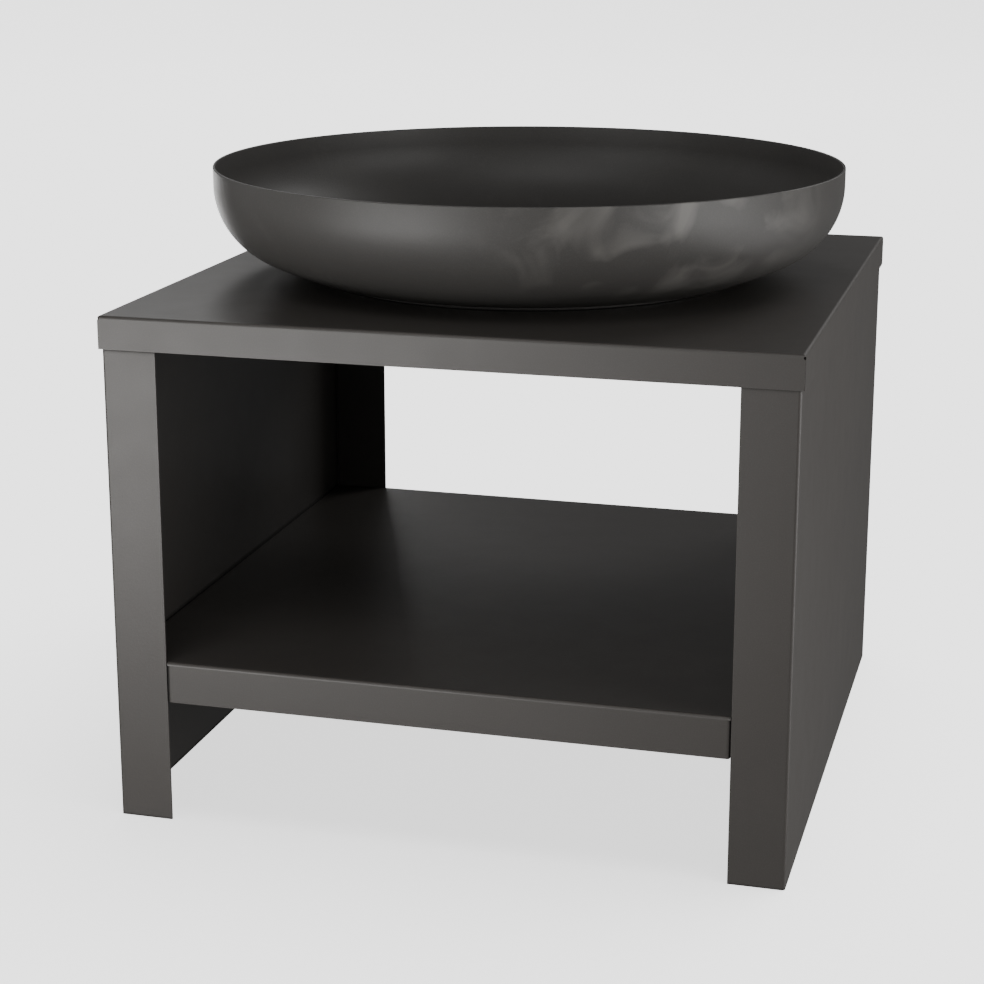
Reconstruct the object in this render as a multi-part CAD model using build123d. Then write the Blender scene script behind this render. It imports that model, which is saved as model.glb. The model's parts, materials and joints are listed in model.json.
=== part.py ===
from build123d import *
import math
import os

# Fire bowl on a folded sheet-steel log stand, with a loose log grate low in the bowl.
# Millimetres. +Z is up, -Y is the front, and the origin is on the floor under the stand's centre.

# ---- Sheet steel of the stand ----
SHEET = 2.0
BEND_INSIDE = 1.0
BEND_OUTSIDE = BEND_INSIDE + SHEET
TOLERANCE = 0.01

# ---- Stand: a square top over two channel-shaped side panels and a shelf ----
TOP_SIZE = 620.0
TOP_HEIGHT = 470.0
SKIRT_DEPTH = 30.0
SKIRT_CLEARANCE = 0.3
CORNER_SEAM = 0.3
CORNER_RELIEF_RADIUS = 1.3
FRONT_LEG_WIDTH = 50.0
REAR_LEG_WIDTH = 60.0
SHELF_HEIGHT = 153.0
SHELF_FLANGE = 38.0
SHELF_SIDE_GAP = 0.8
SHELF_CORNER_NOTCH = 4.0
SHELF_RETURN = 18.0
LIP_WIDTH = 25.0
LIP_RELIEF = 4.0
LEG_TOP_GAP = 2.0

# ---- Hat-section rails welded under the top and under the shelf ----
RAIL_SHEET = 1.5
RAIL_BEND_OUTSIDE = BEND_INSIDE + RAIL_SHEET
RAIL_CROWN = 40.0
RAIL_FOOT = 15.0
RAIL_DEPTH = 22.0
RAIL_LENGTH = 556.0
TOP_RAIL_SPACING = 220.0

# ---- M6 weld studs, washers and nuts ----
STUD_RADIUS = 2.95
STUD_LENGTH = 14.0
STUD_FOOT_RADIUS = 3.75
STUD_FOOT = 1.0
STUD_HOLE_RADIUS = 4.0
STUD_SPACING = 200.0
WASHER_RADIUS = 6.0
WASHER_BORE = 3.2
WASHER_THICKNESS = 1.6
NUT_ACROSS_FLATS = 10.0
NUT_HEIGHT = 5.0
NUT_BORE = 3.05
NUT_CHAMFER = 0.6

# ---- Fire bowl: a dished shell with a flat base, standing on a round-bar ring ----
BOWL_RADIUS = 300.0
BOWL_SHEET = 2.5
BOWL_HEIGHT = 107.0
BOWL_WALL = 17.0
BOWL_KNUCKLE = 74.0
BOWL_CROWN = 630.0
BOWL_BASE_BLEND = 24.0
BOWL_RIM_ROUND = 0.9
FOOT_BAR = 5.0
FOOT_RING_RADIUS = 196.0
LOOSE_GAP = 0.3

# ---- Log grate: rods welded across a ring on short feet ----
GRATE_RADIUS = 150.0
GRATE_RING_BAR = 8.0
GRATE_ROD = 6.0
GRATE_ROD_PITCH = 30.0
GRATE_ROD_COUNT = 9
GRATE_FOOT_RADIUS = 4.0
GRATE_FOOT_HEIGHT = 10.0
GRATE_FOOT_COUNT = 4
GRATE_WELD = 0.8
GRATE_GAP = 0.1

# ---- Places that follow from the sizes above ----
PANEL_FACE = TOP_SIZE / 2 - SHEET - SKIRT_CLEARANCE
PANEL_INNER = PANEL_FACE - SHEET
PANEL_TOP = TOP_HEIGHT - SHEET
LIP_HALF = PANEL_INNER - LIP_RELIEF * 2
LIP_FOLD = BEND_OUTSIDE + SHEET
STUD_ROWS = (-STUD_SPACING, 0.0, STUD_SPACING)
LIP_STUD_X = PANEL_FACE - LIP_WIDTH / 2
SHELF_STUD_Z = SHELF_HEIGHT - SHELF_FLANGE / 2
BOWL_BASE = TOP_HEIGHT + LOOSE_GAP + FOOT_BAR
BOWL_RIM = TOP_HEIGHT + BOWL_HEIGHT
BOWL_FLOOR = BOWL_BASE + BOWL_SHEET


def folded_tray(width, length, depth, top):
    """A sheet folded down on all four sides: its outer size and the height of its top face."""
    outer = Pos(0, 0, top - depth / 2) * Box(width, length, depth)
    outer = fillet(outer.faces().sort_by(Axis.Z)[-1].edges(), BEND_OUTSIDE)
    hollow = depth - SHEET
    inner = Pos(0, 0, top - SHEET - hollow) * Box(
        width - 2 * SHEET, length - 2 * SHEET, 2 * hollow
    )
    inner = fillet(inner.faces().sort_by(Axis.Z)[-1].edges(), BEND_INSIDE)
    return outer - inner


def top_plate():
    """The square top: skirts folded down, an open seam and a round relief at each corner."""
    plate = folded_tray(TOP_SIZE, TOP_SIZE, SKIRT_DEPTH, TOP_HEIGHT)
    corner = TOP_SIZE / 2
    relief_z = TOP_HEIGHT - BEND_OUTSIDE
    reach = 6 * SHEET
    seam_height = SKIRT_DEPTH - BEND_OUTSIDE
    for quarter in range(4):
        place = Rot(0, 0, 90 * quarter) * Pos(corner, corner, relief_z) * Rot(0, 0, 45)
        seam = Pos(0, 0, -seam_height / 2) * Box(reach, CORNER_SEAM, seam_height)
        relief = Rot(0, 90, 0) * Cylinder(CORNER_RELIEF_RADIUS, reach)
        plate -= place * seam
        plate -= place * relief
    return plate


def channel_section():
    """The left panel's plan: a front leg, the side wall and a rear leg, folded from one sheet."""
    face = PANEL_FACE
    wall = PANEL_INNER
    front_end = -face + FRONT_LEG_WIDTH
    rear_end = -face + REAR_LEG_WIDTH
    outline = Polyline(
        (front_end, -face),
        (-face, -face),
        (-face, face),
        (rear_end, face),
        (rear_end, wall),
        (-wall, wall),
        (-wall, -wall),
        (front_end, -wall),
        close=True,
    )
    section = make_face(outline)
    outside = section.vertices().filter_by(lambda v: abs(v.X + face) < TOLERANCE)
    section = fillet(outside, BEND_OUTSIDE)
    inside = section.vertices().filter_by(
        lambda v: abs(v.X + wall) < TOLERANCE and abs(abs(v.Y) - wall) < TOLERANCE
    )
    return fillet(inside, BEND_INSIDE)


def top_lip():
    """The left panel's top edge, folded inwards to carry the top plate, with its three stud holes."""
    face = PANEL_FACE
    outline = Polyline(
        (-face, PANEL_TOP - LIP_FOLD),
        (-face, PANEL_TOP),
        (-face + LIP_WIDTH, PANEL_TOP),
        (-face + LIP_WIDTH, PANEL_TOP - SHEET),
        (-PANEL_INNER, PANEL_TOP - SHEET),
        (-PANEL_INNER, PANEL_TOP - LIP_FOLD),
        close=True,
    )
    section = Plane.XZ * make_face(outline)
    bar = extrude(section, LIP_HALF, both=True)
    along = bar.edges().filter_by(Axis.Y)
    outer = along.filter_by(
        lambda e: abs(e.center().X + face) < TOLERANCE and e.center().Z > PANEL_TOP - TOLERANCE
    )
    bar = fillet(outer, BEND_OUTSIDE)
    inner = bar.edges().filter_by(Axis.Y).filter_by(
        lambda e: abs(e.center().X + PANEL_INNER) < TOLERANCE
        and abs(e.center().Z - PANEL_TOP + SHEET) < TOLERANCE
    )
    bar = fillet(inner, BEND_INSIDE)
    for y in STUD_ROWS:
        bar -= Pos(-LIP_STUD_X, y, PANEL_TOP) * Cylinder(STUD_HOLE_RADIUS, 4 * SHEET)
    return bar


def left_panel():
    """The left side: a full-height channel whose top edge is folded in between two relief notches."""
    panel = extrude(channel_section(), PANEL_TOP - LEG_TOP_GAP)
    notch = Box(4 * SHEET, 2 * (LIP_HALF + LIP_RELIEF), 2 * LIP_FOLD)
    panel -= Pos(-PANEL_FACE, 0, PANEL_TOP) * notch
    return panel + top_lip()


def shelf_return(inner_x):
    """The right end of the shelf's front flange, folded back beside the leg."""
    start = inner_x - 2 * BEND_OUTSIDE
    wall = inner_x - SHEET
    front = -PANEL_FACE
    outline = Polyline(
        (start, front),
        (inner_x, front),
        (inner_x, front + SHELF_RETURN),
        (wall, front + SHELF_RETURN),
        (wall, front + SHEET),
        (start, front + SHEET),
        close=True,
    )
    section = make_face(outline)
    for x, y, radius in ((inner_x, front, BEND_OUTSIDE), (wall, front + SHEET, BEND_INSIDE)):
        corner = section.vertices().filter_by(
            lambda v: abs(v.X - x) < TOLERANCE and abs(v.Y - y) < TOLERANCE
        )
        section = fillet(corner, radius)
    strip = extrude(section, SHELF_FLANGE - BEND_OUTSIDE)
    return Pos(0, 0, SHELF_HEIGHT - SHELF_FLANGE) * strip


def shelf():
    """The log shelf: a folded tray, notched round the four legs, flush with their outer faces."""
    width = 2 * PANEL_INNER
    length = 2 * PANEL_FACE
    tray = folded_tray(width, length, SHELF_FLANGE, SHELF_HEIGHT)
    for side in (-1, 1):
        for end, leg in ((-1, FRONT_LEG_WIDTH), (1, REAR_LEG_WIDTH)):
            inner_x = PANEL_FACE - leg - SHELF_SIDE_GAP
            notch_width = PANEL_FACE - inner_x
            notch = Box(notch_width, 2 * SHELF_CORNER_NOTCH, 4 * SHELF_FLANGE)
            tray -= Pos(side * (inner_x + notch_width / 2), end * length / 2, SHELF_HEIGHT) * notch
            square_end = Box(BEND_OUTSIDE, 2 * SHEET, SHELF_FLANGE)
            flange_z = SHELF_HEIGHT - BEND_OUTSIDE - SHELF_FLANGE / 2
            tray -= Pos(side * (inner_x - BEND_OUTSIDE / 2), end * length / 2, flange_z) * square_end
            fold = shelf_return(inner_x)
            if side < 0:
                fold = mirror(fold, about=Plane.YZ)
            if end > 0:
                fold = mirror(fold, about=Plane.XZ)
            tray += fold
    for y in STUD_ROWS:
        hole = Rot(0, 90, 0) * Cylinder(STUD_HOLE_RADIUS, 4 * TOP_SIZE)
        tray -= Pos(0, y, SHELF_STUD_Z) * hole
    return tray


def hat_rail(underside, y):
    """A folded hat-section rail hung under a sheet at that height, running from side to side."""
    inner = RAIL_CROWN / 2
    outer = inner + RAIL_SHEET
    tip = inner + RAIL_FOOT
    foot = underside - RAIL_SHEET
    crown = underside - RAIL_DEPTH
    bottom = crown - RAIL_SHEET
    outline = Polyline(
        (tip, underside),
        (inner, underside),
        (inner, crown),
        (-inner, crown),
        (-inner, underside),
        (-tip, underside),
        (-tip, foot),
        (-outer, foot),
        (-outer, bottom),
        (outer, bottom),
        (outer, foot),
        (tip, foot),
        close=True,
    )
    section = make_face(outline)
    for half, outside_of_bend, inside_of_bend in ((inner, underside, crown), (outer, bottom, foot)):
        for height, radius in ((outside_of_bend, RAIL_BEND_OUTSIDE), (inside_of_bend, BEND_INSIDE)):
            corners = section.vertices().filter_by(
                lambda v: abs(abs(v.X) - half) < TOLERANCE and abs(v.Y - height) < TOLERANCE
            )
            section = fillet(corners, radius)
    return Pos(0, y, 0) * extrude(Plane.YZ * section, RAIL_LENGTH / 2, both=True)


def weld_stud():
    """An M6 weld stud whose foot sits at the origin and whose shank runs along +Z."""
    foot = Pos(0, 0, STUD_FOOT / 2) * Cylinder(STUD_FOOT_RADIUS, STUD_FOOT)
    shank = Pos(0, 0, STUD_LENGTH / 2) * Cylinder(STUD_RADIUS, STUD_LENGTH)
    shank = chamfer(shank.edges().sort_by(Axis.Z)[-1], NUT_CHAMFER)
    return foot + shank


def washer():
    """A plain M6 washer lying on the origin, its thickness along +Z."""
    ring = Cylinder(WASHER_RADIUS, WASHER_THICKNESS) - Cylinder(WASHER_BORE, 2 * WASHER_THICKNESS)
    return Pos(0, 0, WASHER_THICKNESS / 2) * ring


def nut():
    """An M6 hexagon nut lying on the origin, its height along +Z and its corners chamfered."""
    corner_radius = NUT_ACROSS_FLATS / math.sqrt(3)
    prism = extrude(RegularPolygon(corner_radius, 6), NUT_HEIGHT)
    turned = Pos(0, 0, NUT_HEIGHT / 2) * Cylinder(corner_radius, NUT_HEIGHT)
    turned = chamfer(turned.edges().filter_by(GeomType.CIRCLE), NUT_CHAMFER)
    bored = prism & turned
    return bored - Pos(0, 0, NUT_HEIGHT / 2) * Cylinder(NUT_BORE, 2 * NUT_HEIGHT)


def under_top_places(drop):
    """Where the six top fasteners stand, facing down, that far below the top plate's underside."""
    return [
        Pos(side * LIP_STUD_X, y, PANEL_TOP - drop) * Rot(180, 0, 0)
        for side in (-1, 1)
        for y in STUD_ROWS
    ]


def shelf_side_places(side, inset):
    """Where one side's three shelf fasteners stand, facing inwards, that far in from the panel."""
    return [
        Pos(side * (PANEL_INNER - inset), y, SHELF_STUD_Z) * Rot(0, -90 * side, 0)
        for y in STUD_ROWS
    ]


def group(piece, places):
    """Separate copies of one fastener, kept together as one node."""
    return Compound(children=[place * piece for place in places])


def arc(centre, radius, start, end):
    """An arc in the XZ plane about a centre, between two angles in radians."""
    def point(angle):
        return (
            centre[0] + radius * math.cos(angle),
            centre[1] + radius * math.sin(angle),
        )
    return ThreePointArc(point(start), point((start + end) / 2), point(end))


def bowl_side(inset, knuckle_z, crown_z, blend_x, crown_from, crown_to):
    """One face of the bowl's wall, from the axis to the rim, that far inside the outer face."""
    down = -math.pi / 2
    crown = BOWL_CROWN - inset
    blend = BOWL_BASE_BLEND - inset
    knuckle = BOWL_KNUCKLE - inset
    floor = BOWL_BASE + inset
    edge = BOWL_RADIUS - inset
    return [
        Line((0, floor), (blend_x, floor)),
        arc((blend_x, BOWL_BASE + BOWL_BASE_BLEND), blend, down, crown_from),
        arc((0, crown_z), crown, crown_from, crown_to),
        arc((BOWL_RADIUS - BOWL_KNUCKLE, knuckle_z), knuckle, crown_to, 0),
        Line((edge, knuckle_z), (edge, BOWL_RIM)),
    ]


def fire_bowl():
    """The dished shell: flat base, wide crown, tighter knuckle, short upright wall and rounded rim."""
    knuckle_x = BOWL_RADIUS - BOWL_KNUCKLE
    knuckle_z = BOWL_RIM - BOWL_WALL
    crown_z = knuckle_z + math.sqrt((BOWL_CROWN - BOWL_KNUCKLE) ** 2 - knuckle_x**2)
    blend_drop = crown_z - BOWL_BASE - BOWL_BASE_BLEND
    blend_x = math.sqrt((BOWL_CROWN - BOWL_BASE_BLEND) ** 2 - blend_drop**2)
    crown_from = math.atan2(-blend_drop, blend_x)
    crown_to = math.atan2(knuckle_z - crown_z, knuckle_x)
    shape = (knuckle_z, crown_z, blend_x, crown_from, crown_to)
    outer = bowl_side(0, *shape)
    inner = bowl_side(BOWL_SHEET, *shape)
    rim = Line((BOWL_RADIUS, BOWL_RIM), (BOWL_RADIUS - BOWL_SHEET, BOWL_RIM))
    axis = Line((0, BOWL_BASE), (0, BOWL_FLOOR))
    section = Plane.XZ * make_face(Curve() + [*outer, rim, *inner, axis])
    shell = revolve(section, Axis.Z, 360)
    return fillet(shell.faces().sort_by(Axis.Z)[-1].edges(), BOWL_RIM_ROUND)


def foot_ring():
    """The round-bar ring under the bowl's base, which keeps the hot base off the stand."""
    bar = FOOT_BAR / 2
    return Pos(0, 0, BOWL_BASE - bar) * Torus(FOOT_RING_RADIUS, bar)


def grate_levels():
    """Heights of the grate's foot, ring centre and rod centre."""
    foot = BOWL_FLOOR + GRATE_GAP
    ring = foot + GRATE_FOOT_HEIGHT + GRATE_RING_BAR / 2
    rod = ring + GRATE_RING_BAR / 2 + GRATE_ROD / 2 - GRATE_WELD
    return foot, ring, rod


def grate_ring():
    """The grate's round frame."""
    ring_z = grate_levels()[1]
    return Pos(0, 0, ring_z) * Torus(GRATE_RADIUS, GRATE_RING_BAR / 2)


def grate_bars():
    """The parallel rods that carry the logs, each reaching the ring's outer edge and saddled on it."""
    rod_z = grate_levels()[2]
    first = -(GRATE_ROD_COUNT - 1) / 2
    rods = []
    for index in range(GRATE_ROD_COUNT):
        x = (first + index) * GRATE_ROD_PITCH
        length = 2 * math.sqrt((GRATE_RADIUS + GRATE_ROD / 2) ** 2 - x**2)
        rod = Cylinder(GRATE_ROD / 2, length)
        rod = chamfer(rod.edges().filter_by(GeomType.CIRCLE), NUT_CHAMFER)
        rods.append(Pos(x, 0, rod_z) * Rot(90, 0, 0) * rod - grate_ring())
    return Compound(children=rods)


def grate_feet():
    """Short round feet under the grate's ring, set between the rods' ends."""
    foot_z, ring_z, _ = grate_levels()
    height = ring_z - GRATE_RING_BAR / 2 + GRATE_WELD - foot_z
    feet = []
    for index in range(GRATE_FOOT_COUNT):
        turn = Rot(0, 0, 360 / GRATE_FOOT_COUNT * (index + 0.5))
        foot = Cylinder(GRATE_FOOT_RADIUS, height)
        feet.append(turn * Pos(GRATE_RADIUS, 0, foot_z + height / 2) * foot - grate_ring())
    return Compound(children=feet)


def build():
    """Every node of the assembly by name."""
    panel = left_panel()
    washer_drop = SHEET
    nut_drop = washer_drop + WASHER_THICKNESS
    washer_places = shelf_side_places(-1, washer_drop) + shelf_side_places(1, washer_drop)
    nut_places = shelf_side_places(-1, nut_drop) + shelf_side_places(1, nut_drop)
    half_spacing = TOP_RAIL_SPACING / 2
    return {
        "top_plate": top_plate(),
        "left_side_panel": panel,
        "right_side_panel": mirror(panel, about=Plane.YZ),
        "shelf": shelf(),
        "top_rail_front": hat_rail(PANEL_TOP, -half_spacing),
        "top_rail_rear": hat_rail(PANEL_TOP, half_spacing),
        "shelf_rail": hat_rail(SHELF_HEIGHT - SHEET, 0),
        "top_plate_studs": group(weld_stud(), under_top_places(0)),
        "top_plate_washers": group(washer(), under_top_places(washer_drop)),
        "top_plate_nuts": group(nut(), under_top_places(nut_drop)),
        "left_panel_studs": group(weld_stud(), shelf_side_places(-1, 0)),
        "right_panel_studs": group(weld_stud(), shelf_side_places(1, 0)),
        "shelf_washers": group(washer(), washer_places),
        "shelf_nuts": group(nut(), nut_places),
        "fire_bowl": fire_bowl(),
        "foot_ring": foot_ring(),
        "grate_ring": grate_ring(),
        "grate_bars": grate_bars(),
        "grate_feet": grate_feet(),
    }


os.makedirs("parts", exist_ok=True)
for node_name, shape in build().items():
    export_step(shape, os.path.join("parts", f"{node_name}.step"))
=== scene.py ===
import bmesh
import bpy
import json
import math
import random
from mathutils import Matrix, Vector


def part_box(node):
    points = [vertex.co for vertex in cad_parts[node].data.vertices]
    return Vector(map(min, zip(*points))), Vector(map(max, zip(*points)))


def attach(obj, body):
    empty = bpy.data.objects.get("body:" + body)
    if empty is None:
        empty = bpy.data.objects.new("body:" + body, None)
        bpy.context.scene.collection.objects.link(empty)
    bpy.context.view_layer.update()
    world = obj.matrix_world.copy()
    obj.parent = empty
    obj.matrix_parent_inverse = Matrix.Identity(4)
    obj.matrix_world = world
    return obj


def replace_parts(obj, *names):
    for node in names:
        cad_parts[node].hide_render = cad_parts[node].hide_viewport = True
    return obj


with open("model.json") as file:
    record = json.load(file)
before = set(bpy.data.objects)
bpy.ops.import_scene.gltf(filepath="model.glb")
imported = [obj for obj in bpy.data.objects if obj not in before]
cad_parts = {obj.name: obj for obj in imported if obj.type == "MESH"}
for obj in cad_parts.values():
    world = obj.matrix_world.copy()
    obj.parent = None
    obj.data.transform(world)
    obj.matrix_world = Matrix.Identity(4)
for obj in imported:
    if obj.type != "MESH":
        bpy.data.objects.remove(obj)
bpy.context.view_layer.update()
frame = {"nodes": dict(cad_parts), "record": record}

MM = 0.001
ON_AXIS = 1e-7

# ---- Camera ----
CAMERA_PLACE = (0.531, -2.078, 0.851)
CAMERA_AZIMUTH = math.radians(15.27)
CAMERA_DOWN = math.radians(14.43)
CAMERA_LENS = 82.1
CAMERA_SENSOR = 36
CAMERA_SHIFT = -0.05

# ---- World, floor and the floor's own light ----
WORLD_STRENGTH = 0.16
FLOOR_FLAT_RADIUS = 9.0
FLOOR_CURVE_RADIUS = 5.0
FLOOR_CURVE_STEPS = 12
FLOOR_WALL_HEIGHT = 9.0
FLOOR_SEGMENTS = 96
FLOOR_GLOW = 1.6
FLOOR_SUN_STRENGTH = 4.0
FLOOR_SUN_ANGLE = math.radians(60)
FLOOR_SUN_TURN = (math.radians(-12), math.radians(14), 0)

# ---- Soft boxes: name, place, size and power in watts ----
LIGHT_AIM = Vector((0, 0, 0.3))
LIGHT_TINT = (1.0, 0.992, 0.984)
LIGHTS = (
    ("floor_left", (-1.0, -1.7, 0.06), (1.2, 0.6), 25),
    ("floor_front", (-0.35, -1.55, 0.03), (0.7, 0.7), 2.5),
    ("floor_right", (1.3, 0.1, 0.03), (0.9, 0.7), 4),
    ("key_left", (-1.7, -2.4, 0.95), (1.0, 0.8), 7.5),
    ("front_left", (-0.75, -2.8, 0.9), (0.6, 0.8), 4.5),
    ("front_band", (-0.2, -2.7, 1.5), (2.4, 0.7), 6),
    ("front_high", (0, -1.8, 2.6), (2.0, 1.0), 12),
    ("front_right", (2.2, -1.1, 0.9), (0.7, 0.9), 9.5),
    ("right", (2.4, -0.3, 0.9), (1.2, 1.2), 11),
    ("right_low", (1.8, -0.6, 0.3), (1.0, 0.5), 8),
    ("rear_high_left", (-1.6, 2.4, 2.4), (1.2, 1.2), 16),
    ("rear_high_right", (1.7, 2.4, 2.4), (1.2, 1.2), 25),
    ("left", (-2.6, -0.2, 1.0), (1.4, 1.4), 4),
    ("rear_floor_left", (-1.5, 2.1, 0.08), (1.2, 0.6), 26),
)

# ---- Places from the frame ----
BOWL_LOW, BOWL_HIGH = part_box("fire_bowl")
FOOT_LOW, FOOT_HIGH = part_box("foot_ring")
RING_LOW, RING_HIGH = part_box("grate_ring")
BARS_LOW, BARS_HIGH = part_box("grate_bars")
FEET_LOW, FEET_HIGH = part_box("grate_feet")

# ---- Bowl section ----
BOWL_RADIUS = BOWL_HIGH.x
BOWL_SHEET = 2.5 * MM
BOWL_WALL = 17 * MM
BOWL_KNUCKLE = 74 * MM
BOWL_CROWN = 630 * MM
BOWL_BLEND = 24 * MM
RIM_ROUND = 0.9 * MM
BOWL_SEGMENTS = 288
BLEND_STEPS = 8
CROWN_STEPS = 20
KNUCKLE_STEPS = 32
RIM_STEPS = 6

# ---- Coats: tones as multiples of the coat's own colour, reaches and depths in metres ----
SPECK_TONE = 1.5
SCUFF_TONE = 1.35
# Painted highlight: how much lighter the pale streaks on the bowl's wall are drawn.
STREAK_HIGHLIGHT_TONE = 2.3
WORN_TONE = 2.2
# Painted shade: how much darker the coats are drawn in tight joints.
JOINT_SHADE_TONE = 0.3
WORN_EDGE = 1.2 * MM
WORN_POLISH = 0.12
# How far the painted shade in joints reaches, and how much duller the coat is drawn there.
JOINT_SHADE_REACH = 5 * MM
JOINT_SHADE_DULLNESS = 0.64
PEEL_DEPTH = 0.06 * MM
GRAIN_DEPTH = 0.02 * MM
ZINC_GRAIN_DEPTH = 0.01 * MM
SCALE_DEPTH = 0.25 * MM

# ---- Painted highlight on the bowl's wall: pale streaks towards the front right ----
STREAK_HIGHLIGHT_SIDE = (math.sin(math.radians(40)), -math.cos(math.radians(40)), 0)
STREAK_HIGHLIGHT_FROM = BOWL_RADIUS * 0.78

# ---- Foot ring and its stitch welds, their inset and drop as shares of the bar's radius ----
FOOT_RING_SEGMENTS = 240
RING_WELDS = 8
RING_WELD_HALF_TURN = 0.06
RING_WELD_RADIUS = 1.3 * MM
RING_WELD_INSET = 0.8
RING_WELD_DROP = 0.4

# ---- Grate ----
GRATE_RING_SEGMENTS = 200
BAR_SIDES = 20
ROD_COUNT = 9
ROD_STEPS = 40
ROD_ROUND = 0.8 * MM
EASED_STEPS = 4
ROD_LEAST_SAG = 0.2 * MM
ROD_MOST_SAG = 0.7 * MM
ROD_LEAN = 0.5 * MM
ROD_WELD_REACH = 3 * MM
ROD_WELD_RADIUS = 1.5 * MM
ROD_WELD_FLANK = 0.8
ROD_WELD_DROP = 0.2 * MM
FOOT_COUNT = 4
FOOT_RADIUS = 4 * MM
FOOT_ROUND = 0.6 * MM
FOOT_SEGMENTS = 32
FOOT_WELD_RADIUS = 1.2 * MM
FOOT_WELD_LIFT = 0.8 * MM
FOOT_WELD_SEGMENTS = 40
FOOT_WELD_SIDES = 8
FOOT_WELD_RIPPLE = 90
FOOT_WELD_RIPPLE_DEPTH = 0.12

# ---- M6 fasteners, a stud's neck and point as shares of its shank's radius ----
THREAD_PITCH = 1.0 * MM
THREAD_DEPTH = 0.55 * MM
STUD_SEGMENTS = 28
STUD_FOOT_HEIGHT = 1 * MM
STUD_FOOT_FLANK = 0.8
STUD_FOOT_STEP = 0.8 * MM
STUD_RUN_OUT = 0.3 * MM
STUD_TIP = 0.7 * MM
STUD_NECK = 0.9
STUD_POINT = 0.72
STUD_STEPS_PER_PITCH = 8
NUT_CHAMFER = 0.6 * MM
NUT_CROWN_INSET = 0.66 * MM
NUT_BORE = 2.7 * MM
NUT_SEGMENTS = 72
NUT_BORE_STEPS = 40
WASHER_BORE = 3.2 * MM
WASHER_EDGE = 0.25 * MM
WASHER_SEGMENTS = 48
FASTENER_ROWS = (-1, 0, 1)
FASTENER_SIDES = (-1, 1)

# ---- Weld beads, and the stitch welds on the rails ----
WELD_RADIUS = 1.6 * MM
WELD_RIPPLE = 1.7 * MM
WELD_RIPPLE_DEPTH = 0.13
WELD_SIZES = (0.9, 1.1)
WELD_END = 0.02
WELD_SIDES = 10
RAIL_NODES = ("top_rail_front", "top_rail_rear", "shelf_rail")
RAIL_WELDS = 5
RAIL_WELD_LENGTH = 22 * MM
RAIL_WELD_DROP = 0.9 * MM

random.seed(6)


# ======== Shader helpers ========

class Shader:
    """A material with its nodes at hand."""

    def __init__(self, name):
        self.material = bpy.data.materials.new(name)
        self.material.use_nodes = True
        self.nodes = self.material.node_tree.nodes
        self.links = self.material.node_tree.links
        self.surface = self.nodes["Principled BSDF"]
        self.place = self.nodes.new("ShaderNodeTexCoord").outputs["Object"]

    def link(self, source, target):
        """Joins an output to an input."""
        self.links.new(source, target)

    def noise(self, scale, detail, roughness=0.55, distortion=0.0):
        """Cloudy noise with values round 0.5. scale counts its features per metre."""
        node = self.nodes.new("ShaderNodeTexNoise")
        node.inputs["Scale"].default_value = scale
        node.inputs["Detail"].default_value = detail
        node.inputs["Roughness"].default_value = roughness
        node.inputs["Distortion"].default_value = distortion
        self.link(self.place, node.inputs["Vector"])
        return node.outputs["Fac"]

    def span(self, value, low, high, out_low=0.0, out_high=1.0):
        """Maps the range low to high onto out_low to out_high, and holds it there."""
        node = self.nodes.new("ShaderNodeMapRange")
        node.inputs["From Min"].default_value = low
        node.inputs["From Max"].default_value = high
        node.inputs["To Min"].default_value = out_low
        node.inputs["To Max"].default_value = out_high
        self.link(value, node.inputs["Value"])
        return node.outputs["Result"]

    def math(self, operation, first, second):
        """One step of arithmetic on numbers or outputs."""
        node = self.nodes.new("ShaderNodeMath")
        node.operation = operation
        for socket, value in zip(node.inputs, (first, second)):
            if isinstance(value, (int, float)):
                socket.default_value = value
            else:
                self.link(value, socket)
        return node.outputs["Value"]

    def mix(self, factor, first, second):
        """A blend of two colours, each a tuple or an output."""
        node = self.nodes.new("ShaderNodeMix")
        node.data_type = "RGBA"
        sockets = (node.inputs[0], node.inputs[6], node.inputs[7])
        for socket, value in zip(sockets, (factor, first, second)):
            if isinstance(value, (int, float)):
                socket.default_value = value
            elif isinstance(value, tuple):
                socket.default_value = (*value, 1.0)
            else:
                self.link(value, socket)
        return node.outputs[2]

    def bump(self, height, distance, under=None):
        """Small relief, on top of another bump if one is given."""
        node = self.nodes.new("ShaderNodeBump")
        node.inputs["Distance"].default_value = distance
        self.link(height, node.inputs["Height"])
        if under is not None:
            self.link(under, node.inputs["Normal"])
        return node.outputs["Normal"]

    def edge(self, radius):
        """1 on sharp outer edges and 0 on flat faces."""
        bevel = self.nodes.new("ShaderNodeBevel")
        bevel.samples = 4
        bevel.inputs["Radius"].default_value = radius
        geometry = self.nodes.new("ShaderNodeNewGeometry")
        dot = self.nodes.new("ShaderNodeVectorMath")
        dot.operation = "DOT_PRODUCT"
        self.link(bevel.outputs["Normal"], dot.inputs[0])
        self.link(geometry.outputs["Normal"], dot.inputs[1])
        return self.span(dot.outputs["Value"], 0.99, 0.8)

    def reach(self, direction):
        """How far a place lies along a level direction, in metres."""
        dot = self.nodes.new("ShaderNodeVectorMath")
        dot.operation = "DOT_PRODUCT"
        self.link(self.place, dot.inputs[0])
        dot.inputs[1].default_value = direction
        return dot.outputs["Value"]

    def crease(self, distance):
        """1 in tight joints and 0 on open faces, from ambient occlusion: the mask of the painted
        shade in joints.
        """
        node = self.nodes.new("ShaderNodeAmbientOcclusion")
        node.samples = 8
        node.inputs["Distance"].default_value = distance
        return self.span(node.outputs["AO"], 0.9, 0.55)


def times(colour, factor):
    """A colour made lighter or darker."""
    return tuple(factor * channel for channel in colour)


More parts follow.
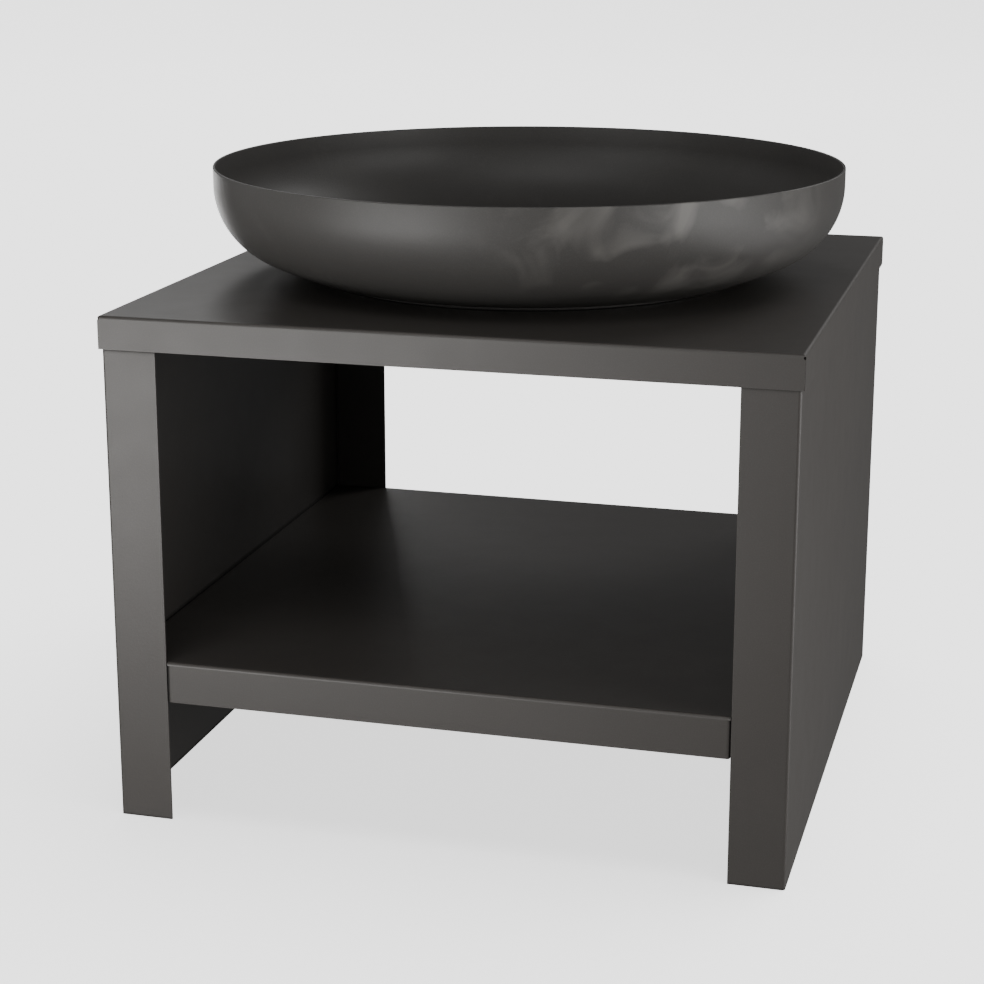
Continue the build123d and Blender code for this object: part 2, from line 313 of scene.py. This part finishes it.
def powder_coat(
    name, dark, light, roughness, grain=1.0, scuffs=0.2, specular=0.45, painted_highlight=False, joint_shade=0.7
):
    """Fine matt coat on steel, with specks, scuffs, worn edges and a fine peel, painted shade that
    darkens and dulls its tight joints, and where asked a painted highlight in pale streaks.
    """
    s = Shader(name)
    cloud = s.span(s.noise(7.0, detail=5.0, roughness=0.6), 0.3, 0.7)
    colour = s.mix(cloud, dark, light)
    speck = s.span(s.noise(900.0, detail=2.0, roughness=0.6), 0.45, 0.75, out_high=0.35)
    colour = s.mix(speck, colour, times(light, SPECK_TONE))
    scuff = s.span(s.noise(14.0, detail=8.0, roughness=0.7, distortion=1.5), 0.58, 0.75)
    colour = s.mix(s.math("MULTIPLY", scuff, scuffs), colour, times(light, SCUFF_TONE))
    # Painted highlight: pale streaks on the bowl's outer wall towards the front right.
    if painted_highlight:
        towards_highlight = s.span(s.reach(STREAK_HIGHLIGHT_SIDE), STREAK_HIGHLIGHT_FROM, BOWL_RADIUS)
        highlight_streaks = s.span(s.noise(15.0, detail=3.0, roughness=0.5, distortion=1.0), 0.47, 0.66)
        colour = s.mix(s.math("MULTIPLY", highlight_streaks, towards_highlight), colour, times(light, STREAK_HIGHLIGHT_TONE))
    patchy = s.span(s.noise(60.0, detail=6.0, roughness=0.7), 0.4, 0.65, out_low=0.15, out_high=0.6)
    worn = s.math("MULTIPLY", s.edge(WORN_EDGE), patchy)
    colour = s.mix(worn, colour, times(light, WORN_TONE))
    # Painted shade: the coat is drawn darker in tight joints, where less light falls.
    joint_shade_mask = s.math("MULTIPLY", s.crease(JOINT_SHADE_REACH), joint_shade)
    colour = s.mix(joint_shade_mask, colour, times(dark, JOINT_SHADE_TONE))
    s.link(colour, s.surface.inputs["Base Color"])

    sheen = s.noise(26.0, detail=6.0, roughness=0.6)
    rough = s.span(sheen, 0.3, 0.7, out_low=roughness - 0.01, out_high=roughness + 0.02)
    rough = s.math("SUBTRACT", rough, s.math("MULTIPLY", worn, WORN_POLISH))
    # The painted shade in joints also makes the coat duller there.
    rough = s.math("ADD", rough, s.math("MULTIPLY", joint_shade_mask, JOINT_SHADE_DULLNESS))
    s.link(rough, s.surface.inputs["Roughness"])
    s.surface.inputs["Specular IOR Level"].default_value = specular

    peel = s.bump(s.noise(420.0, detail=2.0, roughness=0.5), PEEL_DEPTH * grain)
    fine = s.bump(s.noise(1800.0, detail=2.0, roughness=0.5), GRAIN_DEPTH * grain, under=peel)
    s.link(fine, s.surface.inputs["Normal"])
    return s.material


def zinc(name):
    """Dull zinc plate with grey blotches and a fine grain."""
    s = Shader(name)
    blotch = s.noise(220.0, detail=5.0, roughness=0.65)
    tone = s.mix(s.span(blotch, 0.3, 0.7), (0.32, 0.33, 0.34), (0.5, 0.51, 0.52))
    s.link(tone, s.surface.inputs["Base Color"])
    s.link(s.span(blotch, 0.3, 0.7, out_low=0.32, out_high=0.5), s.surface.inputs["Roughness"])
    s.surface.inputs["Metallic"].default_value = 1.0
    grain = s.bump(s.noise(2600.0, detail=2.0, roughness=0.5), ZINC_GRAIN_DEPTH)
    s.link(grain, s.surface.inputs["Normal"])
    return s.material


def scaled_steel(name):
    """Blackened steel rod: mill scale, rust-brown bloom and a rough skin."""
    s = Shader(name)
    scale = s.noise(120.0, detail=8.0, roughness=0.7)
    colour = s.mix(s.span(scale, 0.3, 0.7), (0.022, 0.021, 0.021), (0.06, 0.057, 0.054))
    bloom = s.span(s.noise(28.0, detail=6.0, roughness=0.65, distortion=0.8), 0.5, 0.72)
    colour = s.mix(s.math("MULTIPLY", bloom, 0.5), colour, (0.09, 0.05, 0.032))
    s.link(colour, s.surface.inputs["Base Color"])
    s.link(s.span(scale, 0.3, 0.7, out_low=0.45, out_high=0.75), s.surface.inputs["Roughness"])
    s.surface.inputs["Metallic"].default_value = 0.5
    s.link(s.bump(scale, SCALE_DEPTH), s.surface.inputs["Normal"])
    return s.material


def pale_floor(name):
    """The plain pale studio floor. Its own glow isn't sampled as a light."""
    s = Shader(name)
    tone = s.span(s.noise(1.5, detail=3.0), 0.3, 0.7)
    s.link(s.mix(tone, (0.84, 0.84, 0.84), (0.86, 0.86, 0.86)), s.surface.inputs["Base Color"])
    s.surface.inputs["Roughness"].default_value = 0.9
    s.surface.inputs["Emission Color"].default_value = (1, 1, 1, 1)
    s.surface.inputs["Emission Strength"].default_value = FLOOR_GLOW
    s.material.cycles.emission_sampling = "NONE"
    return s.material


STAND = powder_coat("stand_powder_coat", (0.0505, 0.0460, 0.0425), (0.0555, 0.0510, 0.0470), 0.41)
# The bowl's coat, with the painted highlight in pale streaks.
BOWL = powder_coat(
    "bowl_coat", (0.050, 0.0475, 0.0450), (0.058, 0.0555, 0.0520), 0.48,
    grain=1.1, scuffs=0.5, specular=0.5, painted_highlight=True,
)
# The foot ring's coat: glossier than the bowl's, and drawn lighter as a painted highlight for its
# glint; no painted shade in its joint, so the glint stays.
FOOT_GLINT_COAT = powder_coat(
    "foot_ring_glint_coat", (0.085, 0.082, 0.079), (0.105, 0.101, 0.097), 0.3,
    specular=0.8, joint_shade=0.0,
)
ROD = scaled_steel("grate_steel")
ZINC = zinc("zinc_plate")


# ======== Mesh helpers ========

def mesh_object(name, mesh, material, body, smooth=True):
    """Puts a finished mesh in the scene, riding on a CAD body."""
    for polygon in mesh.polygons:
        polygon.use_smooth = smooth
    mesh.materials.append(material)
    piece = bpy.data.objects.new(name, mesh)
    bpy.context.scene.collection.objects.link(piece)
    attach(piece, body)
    return piece


def full_turn(count):
    """Evenly spaced angles once round."""
    return [2 * math.pi * i / count for i in range(count)]


def closed_mesh(name, made):
    """Turns a finished bmesh into a mesh whose faces all look outwards."""
    bmesh.ops.recalc_face_normals(made, faces=made.faces)
    mesh = bpy.data.meshes.new(name)
    made.to_mesh(mesh)
    made.free()
    return mesh


def bridge(made, rings):
    """Faces between neighbouring rings that have the same number of points."""
    for first, second in zip(rings, rings[1:]):
        for i in range(len(first)):
            j = (i + 1) % len(first)
            made.faces.new((first[i], first[j], second[j], second[i]))


def revolved(name, profile, steps):
    """A closed mesh round the Z axis from an (r, z) outline. A point on the axis is one vertex."""
    made = bmesh.new()
    rings = []
    for r, z in profile:
        angles = full_turn(steps) if r > ON_AXIS else [0]
        rings.append([made.verts.new((r * math.cos(a), r * math.sin(a), z)) for a in angles])
    for first, second in zip(rings, rings[1:]):
        for i in range(steps):
            j = (i + 1) % steps
            places = ((first, i), (first, j), (second, j), (second, i))
            corners = [ring[place % len(ring)] for ring, place in places]
            unique = list(dict.fromkeys(corners))
            if len(unique) > 2:
                made.faces.new(unique)
    return closed_mesh(name, made)


def arc(centre, radius, start, end, steps):
    """Points on an arc, both ends included."""
    angles = [start + (end - start) * i / steps for i in range(steps + 1)]
    return [(centre[0] + radius * math.cos(a), centre[1] + radius * math.sin(a)) for a in angles]


def swept(name, path, radius_at, around, closed=False):
    """A round bar along a path of points. radius_at gets the share of the way along."""
    made = bmesh.new()
    count = len(path)
    rings = []
    side = None
    for i, point in enumerate(path):
        before = path[(i - 1) % count] if closed or i else path[0]
        after = path[(i + 1) % count] if closed or i < count - 1 else path[-1]
        along = (after - before).normalized()
        if side is None:
            side = along.orthogonal().normalized()
        side = (side - along * side.dot(along)).normalized()
        other = along.cross(side)
        radius = radius_at(i / (count - 1))
        rings.append([
            made.verts.new(point + radius * (math.cos(a) * side + math.sin(a) * other))
            for a in full_turn(around)
        ])
    if closed:
        bridge(made, rings + rings[:1])
    else:
        bridge(made, rings)
        made.faces.new(rings[0][::-1])
        made.faces.new(rings[-1])
    return closed_mesh(name, made)


def joined(name, meshes):
    """One mesh from several."""
    made = bmesh.new()
    for mesh in meshes:
        made.from_mesh(mesh)
        bpy.data.meshes.remove(mesh)
    mesh = bpy.data.meshes.new(name)
    made.to_mesh(mesh)
    made.free()
    return mesh


def weld_bead(start, end, radius=WELD_RADIUS):
    """A short fillet bead: a run of overlapping ripples, fading at both ends."""
    length = (end - start).length
    steps = max(8, round(length / (WELD_RIPPLE / 4)))
    path = [start.lerp(end, i / steps) for i in range(steps + 1)]
    size = random.uniform(*WELD_SIZES)

    def radius_at(share):
        ripple = 1 + WELD_RIPPLE_DEPTH * math.sin(2 * math.pi * share * length / WELD_RIPPLE)
        fade = math.sqrt(max(WELD_END, 1 - (2 * share - 1) ** 6))
        return radius * size * ripple * fade

    return swept("bead", path, radius_at, WELD_SIDES)


def ring_path(centre, radius, count):
    """Points on a level circle."""
    return [centre + radius * Vector((math.cos(a), math.sin(a), 0)) for a in full_turn(count)]


# ======== Bowl ========

def bowl_profile():
    """The bowl's section: from the base's centre up over the rim and down to the inner floor."""
    base, rim = BOWL_LOW.z, BOWL_HIGH.z
    knuckle = (BOWL_RADIUS - BOWL_KNUCKLE, rim - BOWL_WALL)
    crown_z = knuckle[1] + math.sqrt((BOWL_CROWN - BOWL_KNUCKLE) ** 2 - knuckle[0] ** 2)
    drop = crown_z - base - BOWL_BLEND
    blend = (math.sqrt((BOWL_CROWN - BOWL_BLEND) ** 2 - drop**2), base + BOWL_BLEND)
    crown_from = math.atan2(-drop, blend[0])
    crown_to = math.atan2(knuckle[1] - crown_z, knuckle[0])

    def side(inset):
        points = [(0, base + inset), (blend[0] / 2, base + inset)]
        points += arc(blend, BOWL_BLEND - inset, -math.pi / 2, crown_from, BLEND_STEPS)
        points += arc((0, crown_z), BOWL_CROWN - inset, crown_from, crown_to, CROWN_STEPS)[1:]
        points += arc(knuckle, BOWL_KNUCKLE - inset, crown_to, 0, KNUCKLE_STEPS)[1:]
        return points

    lip_z = rim - RIM_ROUND
    outer_lip, inner_lip = BOWL_RADIUS - RIM_ROUND, BOWL_RADIUS - BOWL_SHEET + RIM_ROUND
    lip = arc((outer_lip, lip_z), RIM_ROUND, 0, math.pi / 2, RIM_STEPS)
    lip += arc((inner_lip, lip_z), RIM_ROUND, math.pi / 2, math.pi, RIM_STEPS)
    return side(0) + lip + side(BOWL_SHEET)[::-1]


def build_bowl():
    """The dished shell, in place of its coarser CAD node."""
    mesh = revolved("bowl_shell", bowl_profile(), BOWL_SEGMENTS)
    piece = mesh_object("bowl_shell", mesh, BOWL, "bowl")
    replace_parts(piece, "fire_bowl")


def build_foot_ring():
    """The round bar under the bowl, and the stitch welds along its inner side."""
    bar = (FOOT_HIGH.z - FOOT_LOW.z) / 2
    radius = FOOT_HIGH.x - bar
    path = ring_path(Vector((0, 0, FOOT_LOW.z + bar)), radius, FOOT_RING_SEGMENTS)
    mesh = swept("foot_ring_bar", path, lambda share: bar, BAR_SIDES, closed=True)
    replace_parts(mesh_object("foot_ring_bar", mesh, FOOT_GLINT_COAT, "bowl"), "foot_ring")
    beads = []
    inner = radius - bar * RING_WELD_INSET
    height = FOOT_HIGH.z - bar * RING_WELD_DROP
    for i in range(RING_WELDS):
        turn = 2 * math.pi * (i + 0.5) / RING_WELDS
        ends = [
            Vector((inner * math.cos(a), inner * math.sin(a), height))
            for a in (turn - RING_WELD_HALF_TURN, turn + RING_WELD_HALF_TURN)
        ]
        beads.append(weld_bead(*ends, RING_WELD_RADIUS))
    mesh_object("foot_ring_welds", joined("foot_ring_welds", beads), BOWL, "bowl")


build_bowl()
build_foot_ring()

# ======== Grate ========

def grate_piece(name, mesh, node=None):
    """Puts a finished mesh on the grate, in place of its CAD node if it has one."""
    piece = mesh_object(name, mesh, ROD, "grate")
    if node:
        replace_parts(piece, node)


def grate_rod(x, half, height, radius):
    """One rod along Y, a little sagged and bowed, with eased ends."""
    sag = random.uniform(ROD_LEAST_SAG, ROD_MOST_SAG)
    lean = random.uniform(-ROD_LEAN, ROD_LEAN)
    inner, edge = radius - ROD_ROUND, half - ROD_ROUND
    profile = [(0, -half), *arc((inner, -edge), ROD_ROUND, -math.pi / 2, 0, EASED_STEPS)]
    profile += [(radius, edge * (2 * k / ROD_STEPS - 1)) for k in range(1, ROD_STEPS)]
    profile += [*arc((inner, edge), ROD_ROUND, 0, math.pi / 2, EASED_STEPS), (0, half)]
    mesh = revolved("rod", profile, BAR_SIDES)
    for vertex in mesh.vertices:
        bow = 1 - (vertex.co.z / half) ** 2
        vertex.co = (x + vertex.co.x + lean * bow, vertex.co.z, height - vertex.co.y - sag * bow)
    return mesh


def rod_welds(x, ring_radius, rod_radius):
    """A bead on each flank of a rod, where it crosses the ring at both ends."""
    beads = []
    reach = Vector((0, ROD_WELD_REACH, 0))
    aside = rod_radius * ROD_WELD_FLANK
    height = RING_HIGH.z - ROD_WELD_DROP
    for end in (-1, 1):
        y = end * math.sqrt(ring_radius**2 - x**2)
        for flank in (-1, 1):
            middle = Vector((x + flank * aside, y, height))
            beads.append(weld_bead(middle - reach, middle + reach, ROD_WELD_RADIUS))
    return beads


def grate_foot(x, y):
    """A short round foot with an eased lower edge."""
    low, high = FEET_LOW.z, FEET_HIGH.z
    centre = (FOOT_RADIUS - FOOT_ROUND, low + FOOT_ROUND)
    eased = arc(centre, FOOT_ROUND, -math.pi / 2, 0, EASED_STEPS)
    mesh = revolved("foot", [(0, low), *eased, (FOOT_RADIUS, high), (0, high)], FOOT_SEGMENTS)
    mesh.transform(Matrix.Translation((x, y, 0)))
    return mesh


def foot_weld(x, y):
    """The rippled bead round the head of a foot."""
    path = ring_path(Vector((x, y, RING_LOW.z + FOOT_WELD_LIFT)), FOOT_RADIUS, FOOT_WELD_SEGMENTS)

    def radius_at(share):
        return FOOT_WELD_RADIUS * (1 + FOOT_WELD_RIPPLE_DEPTH * math.sin(FOOT_WELD_RIPPLE * share))

    return swept("bead", path, radius_at, FOOT_WELD_SIDES, closed=True)


def build_grate():
    """Ring, rods and feet, and a weld at every crossing."""
    ring_bar = (RING_HIGH.z - RING_LOW.z) / 2
    ring_radius = RING_HIGH.x - ring_bar
    path = ring_path(Vector((0, 0, RING_LOW.z + ring_bar)), ring_radius, GRATE_RING_SEGMENTS)
    ring = swept("grate_ring_bar", path, lambda share: ring_bar, BAR_SIDES, closed=True)
    grate_piece("grate_ring_bar", ring, "grate_ring")

    rod_radius = (BARS_HIGH.z - BARS_LOW.z) / 2
    first = BARS_LOW.x + rod_radius
    pitch = (BARS_HIGH.x - BARS_LOW.x - 2 * rod_radius) / (ROD_COUNT - 1)
    rods, welds = [], []
    for i in range(ROD_COUNT):
        x = first + pitch * i
        half = math.sqrt(BARS_HIGH.y**2 - x**2)
        rods.append(grate_rod(x, half, BARS_LOW.z + rod_radius, rod_radius))
        welds += rod_welds(x, ring_radius, rod_radius)
    grate_piece("grate_rods", joined("grate_rods", rods), "grate_bars")

    feet = []
    for i in range(FOOT_COUNT):
        turn = 2 * math.pi * (i + 0.5) / FOOT_COUNT
        x, y = ring_radius * math.cos(turn), ring_radius * math.sin(turn)
        feet.append(grate_foot(x, y))
        welds.append(foot_weld(x, y))
    grate_piece("grate_feet_round", joined("grate_feet_round", feet), "grate_feet")
    grate_piece("grate_welds", joined("grate_welds", welds))


build_grate()

# ======== Fasteners ========

def turned(rings, steps):
    """An open bmesh and its rings, from (height, radius at an angle), bridged round the Z axis."""
    made = bmesh.new()
    loops = []
    for height, radius_at in rings:
        loops.append([
            made.verts.new((radius_at(a) * math.cos(a), radius_at(a) * math.sin(a), height))
            for a in full_turn(steps)
        ])
    bridge(made, loops)
    return made, loops


def thread_radius(outer, height):
    """The thread's radius at a height, as a function of the angle."""
    def radius_at(angle):
        phase = (height / THREAD_PITCH - angle / (2 * math.pi)) % 1
        return outer - THREAD_DEPTH * abs(2 * phase - 1)
    return radius_at


def plain_radius(radius):
    """The same radius at every angle, for a round ring of a turned mesh."""
    return lambda angle: radius


def stud_mesh(length, radius, foot_radius, foot_height):
    """A threaded weld stud from its foot at z = 0 to its chamfered tip."""
    rings = [
        (0, plain_radius(foot_radius)),
        (foot_height * STUD_FOOT_FLANK, plain_radius(foot_radius)),
        (foot_height, plain_radius(radius * STUD_NECK)),
    ]
    start = foot_height + STUD_RUN_OUT
    tip = length - STUD_TIP
    count = round((tip - start) / THREAD_PITCH * STUD_STEPS_PER_PITCH)
    for i in range(count + 1):
        height = start + (tip - start) * i / count
        rings.append((height, thread_radius(radius, height)))
    rings.append((length, plain_radius(radius * STUD_POINT)))
    made, loops = turned(rings, STUD_SEGMENTS)
    made.faces.new(loops[0][::-1])
    made.faces.new(loops[-1])
    return closed_mesh("stud", made)


def nut_mesh(height, across_flats):
    """A chamfered hexagon nut with a threaded bore, from z = 0 up."""
    flat = across_flats / 2
    corner = flat / math.cos(math.pi / 6)

    def hexagon(limit):
        def radius_at(angle):
            off = angle % (math.pi / 3) - math.pi / 6
            return min(flat / math.cos(off), limit)
        return radius_at

    crown = corner - NUT_CROWN_INSET
    middle = (NUT_CHAMFER / 2 + height) / 2
    rings = [(0, hexagon(crown)), (NUT_CHAMFER, hexagon(corner)), (middle, hexagon(corner))]
    rings += [(height - NUT_CHAMFER, hexagon(corner)), (height, hexagon(crown))]
    for i in range(NUT_BORE_STEPS + 1):
        level = height * (1 - i / NUT_BORE_STEPS)
        rings.append((level, thread_radius(NUT_BORE + THREAD_DEPTH, level)))
    made, loops = turned(rings, NUT_SEGMENTS)
    bridge(made, [loops[-1], loops[0]])
    return closed_mesh("nut", made)


def washer_mesh(thickness, radius):
    """A plain washer with broken edges, from z = 0 up."""
    low, high = WASHER_EDGE, thickness - WASHER_EDGE
    inner, outer = WASHER_BORE + WASHER_EDGE, radius - WASHER_EDGE
    section = [
        (WASHER_BORE, low), (inner, 0), (outer, 0), (radius, low),
        (radius, high), (outer, thickness), (inner, thickness), (WASHER_BORE, high),
    ]
    made, loops = turned([(z, plain_radius(r)) for r, z in section], WASHER_SEGMENTS)
    bridge(made, [loops[-1], loops[0]])
    return closed_mesh("washer", made)


def place_group(name, node, meshes):
    """Joins one kind of fastener into one piece, in place of its plain CAD node."""
    piece = mesh_object(name, joined(name, meshes), ZINC, "stand", smooth=False)
    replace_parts(piece, node)


def hanging(mesh, x, y, z):
    """A copy turned to face down, its foot at that height."""
    copy = mesh.copy()
    copy.transform(Matrix.Translation((x, y, z)) @ Matrix.Rotation(math.pi, 4, "X"))
    return copy


def sideways(mesh, side, x, y, z):
    """A copy turned to face inwards, its foot at that distance from the middle."""
    copy = mesh.copy()
    turn = Matrix.Rotation(-side * math.pi / 2, 4, "Y")
    copy.transform(Matrix.Translation((side * x, y, z)) @ turn)
    return copy


def build_fasteners():
    """Threaded studs, washers and nuts, where the frame has their plain stand-ins."""
    studs_low, studs_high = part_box("top_plate_studs")
    washers_low, washers_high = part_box("top_plate_washers")
    nuts_low, nuts_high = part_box("top_plate_nuts")
    panel_low, panel_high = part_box("left_panel_studs")
    foot = (panel_high.z - panel_low.z) / 2
    row_length = studs_high.y - studs_low.y - 2 * foot
    stud = stud_mesh(studs_high.z - studs_low.z, foot - STUD_FOOT_STEP, foot, STUD_FOOT_HEIGHT)
    washer_radius = (washers_high.y - washers_low.y - row_length) / 2
    washer = washer_mesh(washers_high.z - washers_low.z, washer_radius)
    nut = nut_mesh(nuts_high.z - nuts_low.z, nuts_high.y - nuts_low.y - row_length)

    rows = [row_length / 2 * row for row in FASTENER_ROWS]
    top_x = studs_high.x - foot
    for name, node, mesh, height in (
        ("top_studs_threaded", "top_plate_studs", stud, studs_high.z),
        ("top_washers", "top_plate_washers", washer, washers_high.z),
        ("top_nuts", "top_plate_nuts", nut, nuts_high.z),
    ):
        copies = [hanging(mesh, side * top_x, y, height) for side in FASTENER_SIDES for y in rows]
        place_group(name, node, copies)

    side_z = (panel_low.z + panel_high.z) / 2
    panel_x = -panel_low.x
    washer_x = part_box("shelf_washers")[1].x
    nut_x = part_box("shelf_nuts")[1].x
    for name, node, mesh, x, sides in (
        ("left_studs_threaded", "left_panel_studs", stud, panel_x, (-1,)),
        ("right_studs_threaded", "right_panel_studs", stud, panel_x, (1,)),
        ("shelf_washers_round", "shelf_washers", washer, washer_x, FASTENER_SIDES),
        ("shelf_nuts_threaded", "shelf_nuts", nut, nut_x, FASTENER_SIDES),
    ):
        copies = [sideways(mesh, side, x, y, side_z) for side in sides for y in rows]
        place_group(name, node, copies)
    for mesh in (stud, washer, nut):
        bpy.data.meshes.remove(mesh)


build_fasteners()

# ======== Stitch welds on the rails ========

def build_rail_welds():
    """Short beads along both feet of each rail, where they meet the sheet above."""
    beads = []
    for node in RAIL_NODES:
        low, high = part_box(node)
        span = high.x - low.x
        for i in range(RAIL_WELDS):
            middle = low.x + span * (i + 0.5) / RAIL_WELDS
            for y in (low.y, high.y):
                start = Vector((middle - RAIL_WELD_LENGTH / 2, y, high.z - RAIL_WELD_DROP))
                beads.append(weld_bead(start, start + Vector((RAIL_WELD_LENGTH, 0, 0))))
    mesh_object("rail_welds", joined("rail_welds", beads), STAND, "stand")


build_rail_welds()

# ======== CAD nodes that keep their own mesh ========

NODE_MATERIALS = {
    "stand_steel": STAND,
    "bowl_steel": BOWL,
    "grate_steel": ROD,
    "fastener_steel": ZINC,
}


def finish_cad_nodes():
    """Gives every carried-over CAD node the material of its slot."""
    for part in frame["record"]["subparts"]:
        node = frame["nodes"][part["node"]]
        node.data.materials.clear()
        node.data.materials.append(NODE_MATERIALS[part["material_slot"]])


finish_cad_nodes()

# ======== Stage, light and camera ========

def build_stage():
    """A round pale floor that curves up into a wall far behind the object."""
    centre = (FLOOR_FLAT_RADIUS, FLOOR_CURVE_RADIUS)
    curve = arc(centre, FLOOR_CURVE_RADIUS, -math.pi / 2, 0, FLOOR_CURVE_STEPS)
    profile = [(0, 0), *curve, (FLOOR_FLAT_RADIUS + FLOOR_CURVE_RADIUS, FLOOR_WALL_HEIGHT)]
    mesh = revolved("studio_floor", profile, FLOOR_SEGMENTS)
    mesh.materials.append(pale_floor("pale_floor"))
    for polygon in mesh.polygons:
        polygon.use_smooth = True
    floor = bpy.data.objects.new("studio_floor", mesh)
    floor.visible_diffuse = False
    floor.visible_glossy = False
    bpy.context.scene.collection.objects.link(floor)
    return floor


def link_group(name, floor, state):
    """A light's receivers: the floor alone (INCLUDE), or everything but the floor (EXCLUDE)."""
    group = bpy.data.collections.new(name)
    group.objects.link(floor)
    group.collection_objects[0].light_linking.link_state = state
    return group


def area_light(name, place, size, power):
    """A rectangular soft box turned to the object."""
    data = bpy.data.lights.new(name, "AREA")
    data.shape = "RECTANGLE"
    data.size, data.size_y = size
    data.energy = power
    data.color = LIGHT_TINT
    light = bpy.data.objects.new(name, data)
    light.location = place
    light.rotation_euler = (LIGHT_AIM - Vector(place)).to_track_quat("-Z", "Y").to_euler()
    bpy.context.scene.collection.objects.link(light)
    return light


def build_lights(floor):
    """Soft boxes for everything but the floor, and a wide sun for the floor alone."""
    world = bpy.data.worlds.new("studio")
    bpy.context.scene.world = world
    world.use_nodes = True
    background = world.node_tree.nodes["Background"]
    background.inputs["Color"].default_value = (1, 1, 1, 1)
    background.inputs["Strength"].default_value = WORLD_STRENGTH
    object_only = link_group("lit_by_soft_boxes", floor, "EXCLUDE")
    for name, place, size, power in LIGHTS:
        light = area_light(name, place, size, power)
        light.visible_camera = False
        light.light_linking.receiver_collection = object_only
    data = bpy.data.lights.new("floor_light", "SUN")
    data.energy = FLOOR_SUN_STRENGTH
    data.angle = FLOOR_SUN_ANGLE
    sun = bpy.data.objects.new("floor_light", data)
    sun.rotation_euler = FLOOR_SUN_TURN
    bpy.context.scene.collection.objects.link(sun)
    sun.light_linking.receiver_collection = link_group("lit_by_floor_light", floor, "INCLUDE")


def build_camera():
    """A long lens from the front right, a little above the rim."""
    data = bpy.data.cameras.new("camera")
    data.sensor_width = CAMERA_SENSOR
    data.lens = CAMERA_LENS
    data.shift_y = CAMERA_SHIFT
    camera = bpy.data.objects.new("camera", data)
    camera.location = CAMERA_PLACE
    camera.rotation_euler = (math.pi / 2 - CAMERA_DOWN, 0, CAMERA_AZIMUTH)
    bpy.context.scene.collection.objects.link(camera)
    bpy.context.scene.camera = camera


build_lights(build_stage())
build_camera()
